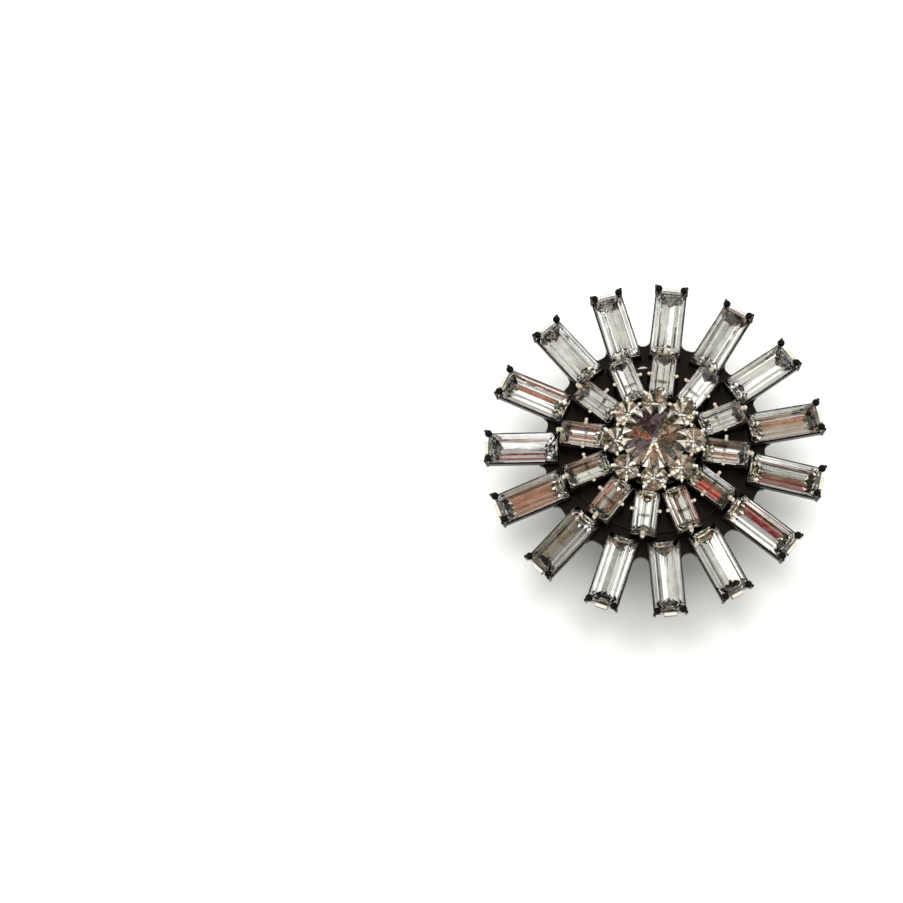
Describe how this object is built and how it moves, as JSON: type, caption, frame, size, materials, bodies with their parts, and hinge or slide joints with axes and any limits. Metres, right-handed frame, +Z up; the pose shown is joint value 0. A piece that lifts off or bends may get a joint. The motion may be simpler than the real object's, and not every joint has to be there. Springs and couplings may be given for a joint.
{
  "type": "crystal clip earring",
  "caption": "Domed starburst clip earring in dark metal: two tiers of clear baguette stones round a flower of round stones, with a bent clip behind.",
  "frame": {"origin": "on the underside of the clip's paddle, which the earring rests on, under the middle of the star", "axes": "+Z up along the star's axis, out of its face; +Y toward the bend of the clip, the top of the earring as pictured"},
  "size_m": [0.034, 0.0342, 0.0139],
  "materials": {
    "black_metal": "satin black over brass",
    "brown_metal": "satin dark brown",
    "silver_metal": "bright, tarnished in the recesses",
    "clip_metal": "satin gunmetal",
    "long_glass": "step-cut clear glass with a foil back",
    "short_glass": "step-cut clear glass with a foil back",
    "round_glass": "brilliant-cut clear glass with a foil back",
    "centre_glass": "brilliant-cut clear glass with a foil back"
  },
  "bodies": {
    "root": {"centre_stone": "centre_glass", "ear_clip": "clip_metal", "flower_setting": "silver_metal", "inner_frame": "brown_metal", "inner_stone_01": "short_glass", "inner_stone_02": "short_glass", "inner_stone_03": "short_glass", "inner_stone_04": "short_glass", "inner_stone_05": "short_glass", "inner_stone_06": "short_glass", "inner_stone_07": "short_glass", "inner_stone_08": "short_glass", "inner_stone_09": "short_glass", "inner_stone_10": "short_glass", "inner_stone_11": "short_glass", "inner_stone_12": "short_glass", "outer_frame": "black_metal", "outer_stone_01": "long_glass", "outer_stone_02": "long_glass", "outer_stone_03": "long_glass", "outer_stone_04": "long_glass", "outer_stone_05": "long_glass", "outer_stone_06": "long_glass", "outer_stone_07": "long_glass", "outer_stone_08": "long_glass", "outer_stone_09": "long_glass", "outer_stone_10": "long_glass", "outer_stone_11": "long_glass", "outer_stone_12": "long_glass", "outer_stone_13": "long_glass", "outer_stone_14": "long_glass", "outer_stone_15": "long_glass", "round_stone_1": "round_glass", "round_stone_2": "round_glass", "round_stone_3": "round_glass", "round_stone_4": "round_glass", "round_stone_5": "round_glass", "round_stone_6": "round_glass", "round_stone_7": "round_glass", "round_stone_8": "round_glass"}
  },
  "joints": []
}
